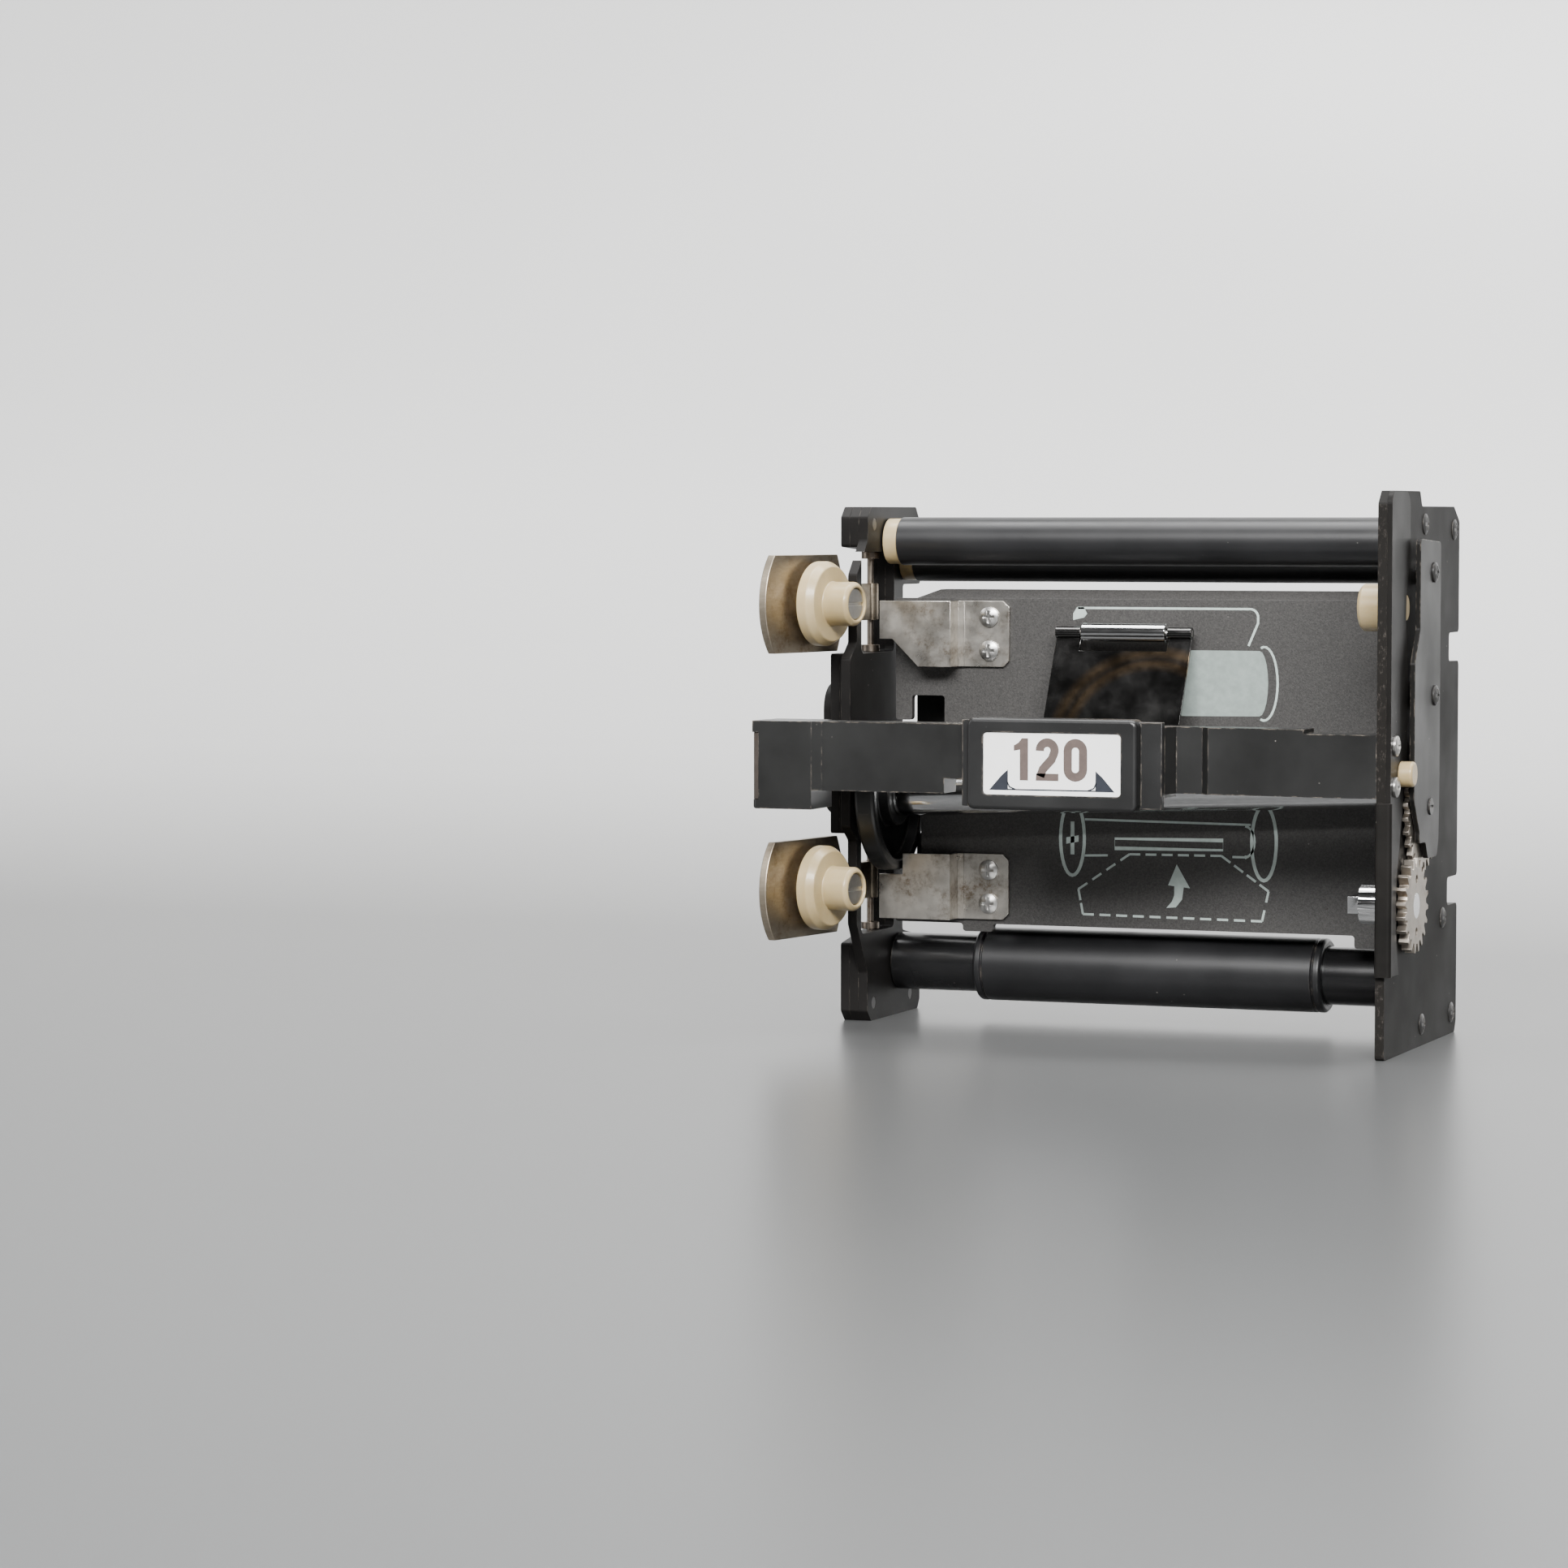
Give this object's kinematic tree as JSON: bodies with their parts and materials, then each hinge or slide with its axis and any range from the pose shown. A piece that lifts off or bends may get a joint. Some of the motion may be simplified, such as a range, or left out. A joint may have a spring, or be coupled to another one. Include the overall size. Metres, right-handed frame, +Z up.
{
  "type": "roll film insert",
  "caption": "Roll-film insert of a medium-format camera: side plates, rollers, swinging spool cups, take-up gear and a grip bar.",
  "frame": {"origin": "middle of the base, under the object's box", "axes": "+X to the right along the rollers, +Y towards the lens side, +Z up"},
  "size_m": [0.0812, 0.0408, 0.0662],
  "materials": {
    "black_paint": "satin black enamel, fine orange peel, worn at the edges",
    "grip_black": "moulded black plastic",
    "panel_paint": "dark grey crinkle paint",
    "roller_black": "satin black anodised",
    "bare_steel": "bare nickel steel with brown stains",
    "spring_steel": "polished blued spring strip",
    "polished_chrome": "polished",
    "nylon": "aged nylon, slightly translucent",
    "gear_steel": "dull stamped steel",
    "screw_steel": "bright nickel",
    "black_screws": "blackened steel",
    "label_white": "satin white printed metal",
    "worn_copper": "worn copper plating"
  },
  "bodies": {
    "frame": {"right_side_plate": "black_paint", "front_rail": "black_paint", "rail_screws": "screw_steel", "right_plate_screws": "black_screws", "nylon_detent": "nylon", "idler_axle": "screw_steel", "gear_cover": "black_paint", "cover_posts": "screw_steel", "cover_screws": "black_screws", "supply_peg": "nylon", "left_inner_plate": "black_paint", "left_middle_plate": "black_paint", "left_outer_plate": "black_paint", "left_boss": "black_paint", "left_rivets": "black_screws", "upper_hinge_pin": "screw_steel", "lower_hinge_pin": "screw_steel", "back_panel": "panel_paint", "upper_hold_down_spring": "bare_steel", "lower_hold_down_spring": "bare_steel", "hold_down_screws": "screw_steel", "tension_spring_foot": "spring_steel", "tension_screws": "screw_steel", "pressure_guide_posts": "screw_steel", "pressure_springs": "spring_steel", "top_front_shaft": "screw_steel", "top_rear_shaft": "screw_steel", "bottom_shaft": "screw_steel", "handle": "black_paint", "handle_catch": "worn_copper", "handle_grip": "grip_black", "film_size_plate": "label_white"},
    "takeup": {"takeup_gear": "gear_steel", "takeup_key": "polished_chrome"},
    "idler": {"idler_gear": "gear_steel"},
    "upper_arm": {"upper_bracket": "bare_steel", "upper_cup_screw": "screw_steel"},
    "upper_spool_cup": {"upper_cup": "nylon"},
    "lower_arm": {"lower_bracket": "bare_steel", "lower_cup_screw": "screw_steel"},
    "lower_spool_cup": {"lower_cup": "nylon"},
    "tension_arm": {"tension_spring_leaf": "spring_steel", "tension_pin": "screw_steel"},
    "tension_wheel": {"tension_roller": "polished_chrome"},
    "front_roller": {"top_front_roller": "roller_black", "top_front_end_rings": "nylon"},
    "rear_roller": {"top_rear_roller": "roller_black", "top_rear_end_rings": "nylon"},
    "lower_roller": {"bottom_roller": "roller_black", "bottom_roller_sleeve": "roller_black"},
    "winder": {"thumbwheel": "grip_black", "winding_bar": "polished_chrome"},
    "film_pressure": {"pressure_plate": "panel_paint", "pressure_guide_pins": "screw_steel"}
  },
  "joints": [
    {"name": "upper_arm_swing", "type": "hinge", "parent": "frame", "child": "upper_arm", "pos_m": [-0.03455, 0.007, 0.0525], "axis": [0, 0, -1], "range_deg": [-10, 80]},
    {"name": "upper_cup_spin", "type": "hinge", "parent": "upper_arm", "child": "upper_spool_cup", "pos_m": [-0.03668, -0.00826, 0.0525], "axis": [0.9848, -0.1736, 0], "continuous": true},
    {"name": "lower_arm_swing", "type": "hinge", "parent": "frame", "child": "lower_arm", "pos_m": [-0.03455, 0.007, 0.0175], "axis": [0, 0, -1], "range_deg": [-10, 80]},
    {"name": "lower_cup_spin", "type": "hinge", "parent": "lower_arm", "child": "lower_spool_cup", "pos_m": [-0.03668, -0.00826, 0.0175], "axis": [0.9848, -0.1736, 0], "continuous": true},
    {"name": "takeup_spin", "type": "hinge", "parent": "frame", "child": "takeup", "pos_m": [0.03725, -0.0084, 0.0175], "axis": [1, 0, 0], "continuous": true},
    {"name": "idler_spin", "type": "hinge", "parent": "frame", "child": "idler", "pos_m": [0.0386, -0.0034, 0.02888], "axis": [1, 0, 0], "continuous": true},
    {"name": "top_front_roller_spin", "type": "hinge", "parent": "frame", "child": "front_roller", "pos_m": [0.00225, 0.0088, 0.0601], "axis": [1, 0, 0], "continuous": true},
    {"name": "top_rear_roller_spin", "type": "hinge", "parent": "frame", "child": "rear_roller", "pos_m": [0.00225, 0.0144, 0.0577], "axis": [1, 0, 0], "continuous": true},
    {"name": "bottom_roller_spin", "type": "hinge", "parent": "frame", "child": "lower_roller", "pos_m": [0.00225, 0.0126, 0.0068], "axis": [1, 0, 0], "continuous": true},
    {"name": "winder_spin", "type": "hinge", "parent": "frame", "child": "winder", "pos_m": [-0.03275, 0.004, 0.0282], "axis": [0.9993, 0, 0.0371], "continuous": true},
    {"name": "tension_flex", "type": "hinge", "parent": "frame", "child": "tension_arm", "pos_m": [0.00225, 0.00685, 0.0344], "axis": [-1, 0, 0], "range_deg": [0, 3.5], "stiffness_Nm_per_rad": 0.05, "springref_deg": -5.73},
    {"name": "tension_roller_spin", "type": "hinge", "parent": "tension_arm", "child": "tension_wheel", "pos_m": [0.00225, 0.0048, 0.0489], "axis": [1, 0, 0], "continuous": true},
    {"name": "pressure_travel", "type": "slide", "parent": "frame", "child": "film_pressure", "axis": [0, -1, 0], "range_m": [0, 0.0015], "stiffness_N_per_m": 300, "springref_m": -0.002, "deforming": ["pressure_springs"]}
  ],
  "couplings": [
    {"joint": "idler_spin", "follows": "takeup_spin", "ratio": -0.71429}
  ]
}
